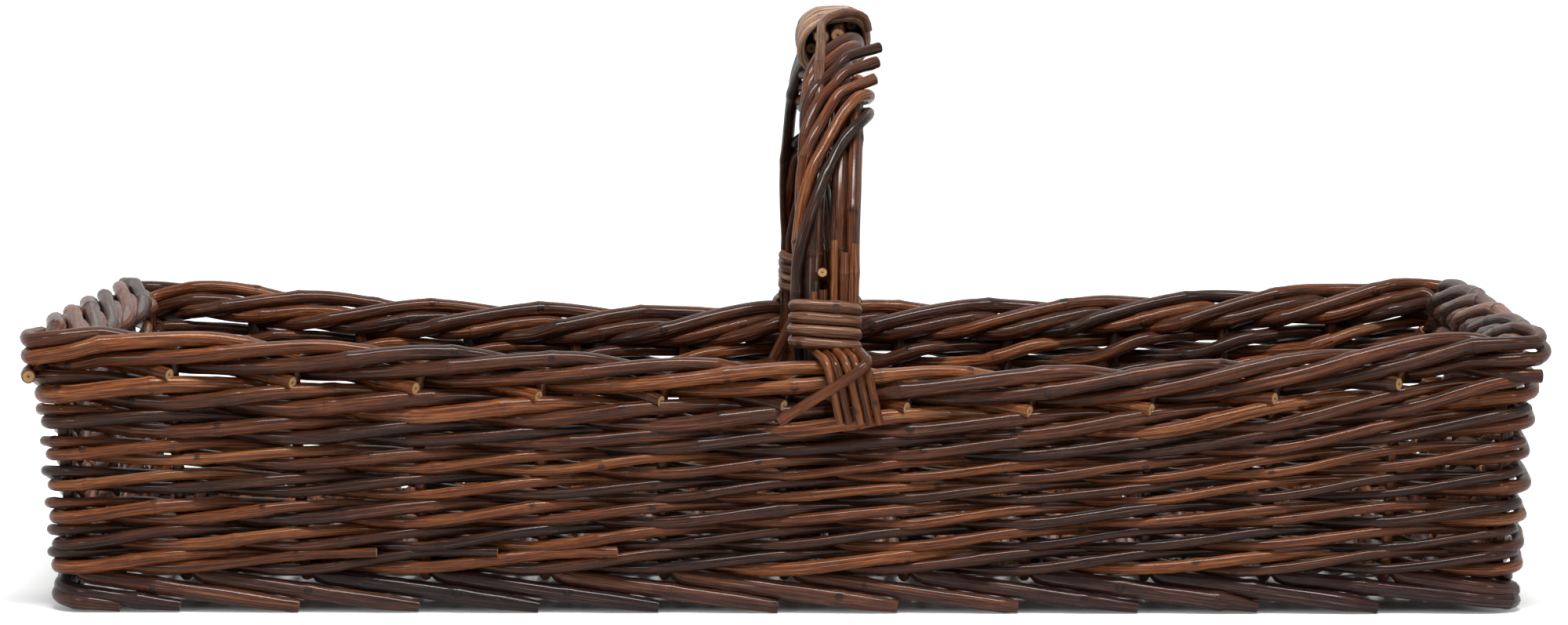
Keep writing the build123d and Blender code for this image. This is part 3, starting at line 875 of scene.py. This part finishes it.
# Stage, in metres: a white floor, a white world and soft lamps. The floor's own glow, which the
# camera sees and the basket doesn't, starts round the footprint and is whole further out. A lamp
# has its place, what it points at, its size and its watts
stage = {
    "floorReach": 40.0, "floorColour": (0.8, 0.8, 0.8), "floorRoughness": 0.9,
    "worldLight": 0.21, "footprint": (0.285, 0.147),
    "nearGlow": 0.42, "nearReach": (-0.02, 0.02), "glowReach": (0.25, 1.1),
    "lamps": (((0.1, -0.8, 1.9), (0, 0, 0.05), (1.1, 0.3), 58),
              ((-1.6, -2.0, 1.1), (0, 0, 0.1), (0.6, 0.6), 11),
              ((1.7, -1.9, 1.2), (0, 0, 0.1), (0.6, 0.6), 13),
              ((0.0, 1.8, 1.4), (0, 0, 0.1), (1.6, 0.5), 7)),
}


# 1 for what the camera sees itself, in gloss or through glass, and 0 for the light on the object
def seenRays(start):
    rays = start.make("ShaderNodeLightPath", output="Is Camera Ray")
    both = rays + rays.out("Is Glossy Ray") + rays.out("Is Transmission Ray")
    return start.maths("MINIMUM", both, 1)


world = bpy.data.worlds.new("white")
bpy.context.scene.world = world
world.use_nodes = True
world.node_tree.nodes.clear()
start = Value(world.node_tree)
strength = stage["worldLight"] + seenRays(start) * (1 - stage["worldLight"])
light = start.make("ShaderNodeBackground", inputs={"Color": strength, "Strength": 1})
start.make("ShaderNodeOutputWorld", inputs={"Surface": light})

reach = stage["floorReach"]
floorMesh = bpy.data.meshes.new("floor")
floorMesh.from_pydata([(-reach, -reach, 0), (reach, -reach, 0), (reach, reach, 0),
                       (-reach, reach, 0)], [], [(0, 1, 2, 3)])
floor = bpy.data.objects.new("floor", floorMesh)
bpy.context.scene.collection.objects.link(floor)
floorLook = bpy.data.materials.new("floorWhite")
floorLook.use_nodes = True
floorLook.node_tree.nodes.clear()
start = Value(floorLook.node_tree)
shader = start.make("ShaderNodeBsdfPrincipled", inputs={
    "Base Color": (*stage["floorColour"], 1), "Roughness": stage["floorRoughness"],
    "Specular IOR Level": 0.0})
spot = start.make("ShaderNodeTexCoord", output="Object")
spot = start.make("ShaderNodeSeparateXYZ", inputs={0: spot}, output="X")
outside = start.maths("MAXIMUM", start.maths("ABSOLUTE", spot) - stage["footprint"][0],
                      start.maths("ABSOLUTE", spot.out("Y")) - stage["footprint"][1])
near = outside.between(*stage["nearReach"]) * stage["nearGlow"]
far = outside.between(*stage["glowReach"]) * (1 - stage["nearGlow"])
glow = start.make("ShaderNodeEmission", inputs={
    "Color": seenRays(start) * (near + far), "Strength": 1})
both = start.make("ShaderNodeAddShader", inputs={0: shader, 1: glow})
start.make("ShaderNodeOutputMaterial", inputs={"Surface": both})
floorMesh.materials.append(floorLook)

for number, (place, target, size, power) in enumerate(stage["lamps"]):
    lamp = bpy.data.lights.new(f"lamp{number + 1}", "AREA")
    lamp.shape, lamp.size, lamp.size_y, lamp.energy = "RECTANGLE", *size, power
    holder = bpy.data.objects.new(f"lamp{number + 1}", lamp)
    holder.location = place
    aim = Vector(target) - Vector(place)
    holder.rotation_euler = aim.to_track_quat("-Z", "Y").to_euler()
    bpy.context.scene.collection.objects.link(holder)

# Camera: straight in front, a little above, from about two metres
view = {
    "place": (0.0232, -2.308, 0.275), "down": 4.127, "left": 0.617, "focalPixels": 7015,
    "width": 2000, "sensor": 36,
}
camera = bpy.data.cameras.new("camera")
camera.sensor_width = view["sensor"]
camera.lens = view["focalPixels"] / view["width"] * view["sensor"]
eye = bpy.data.objects.new("camera", camera)
eye.location = view["place"]
eye.rotation_euler = (math.radians(90 - view["down"]), 0, math.radians(view["left"]))
bpy.context.scene.collection.objects.link(eye)
bpy.context.scene.camera = eye
bpy.context.scene.view_settings.view_transform = "Standard"
print("stage and camera set")
